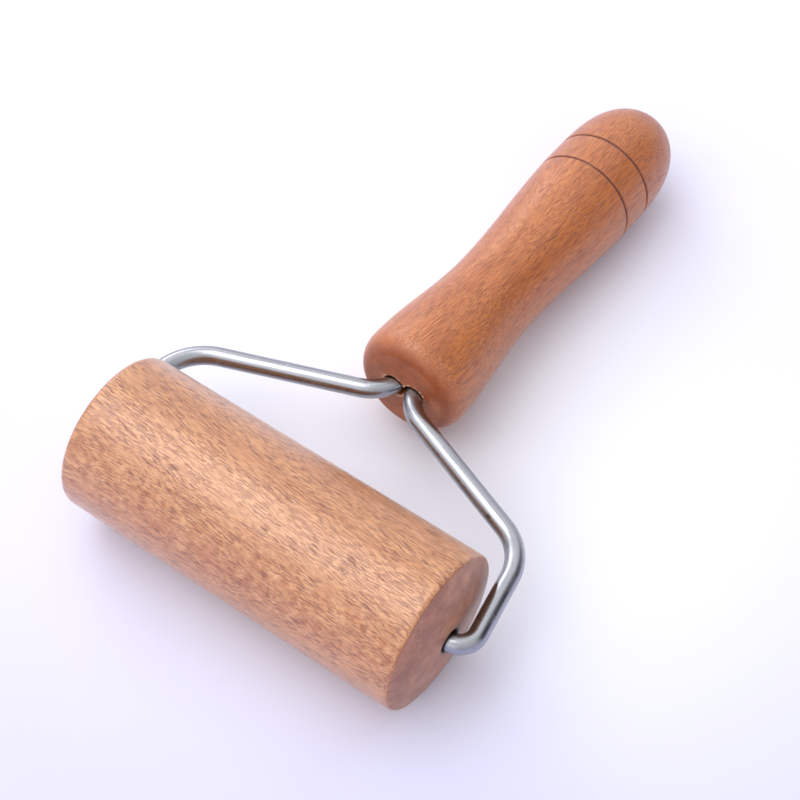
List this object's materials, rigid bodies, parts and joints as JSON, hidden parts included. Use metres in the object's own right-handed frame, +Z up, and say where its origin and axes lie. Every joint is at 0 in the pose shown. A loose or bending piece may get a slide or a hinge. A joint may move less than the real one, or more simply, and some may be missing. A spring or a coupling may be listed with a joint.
{
  "type": "wooden hand roller",
  "caption": "Wooden hand roller: a loose beech cylinder spins on a bent steel wire frame whose ends are set in a turned beech handle with a waist and dark grooves.",
  "frame": {"origin": "centre of the footprint on the surface that the part lies on, at the lowest point of the roller and of the handle's swell", "axes": "+X along the roller's axis, +Y from the roller to the butt of the handle, +Z up"},
  "size_m": [0.1124, 0.1875, 0.04],
  "materials": {
    "roller_wood": "fine-sanded bare beech, short dark pores along the roller's axis",
    "steel_wire": "drawn round steel wire, satin, lightly scuffed",
    "handle_wood": "turned beech, oiled, redder than the roller, burnt grooves near the butt",
    "cured_glue": "cured wood glue, hidden in the sockets"
  },
  "bodies": {
    "frame": {"wire_frame": "steel_wire", "handle": "handle_wood", "glue": "cured_glue"},
    "roller": {"roller": "roller_wood"}
  },
  "joints": [
    {"name": "roller_spin", "type": "hinge", "parent": "frame", "child": "roller", "pos_m": [0, -0.07376, 0.02], "axis": [1, 0, 0], "continuous": true}
  ]
}
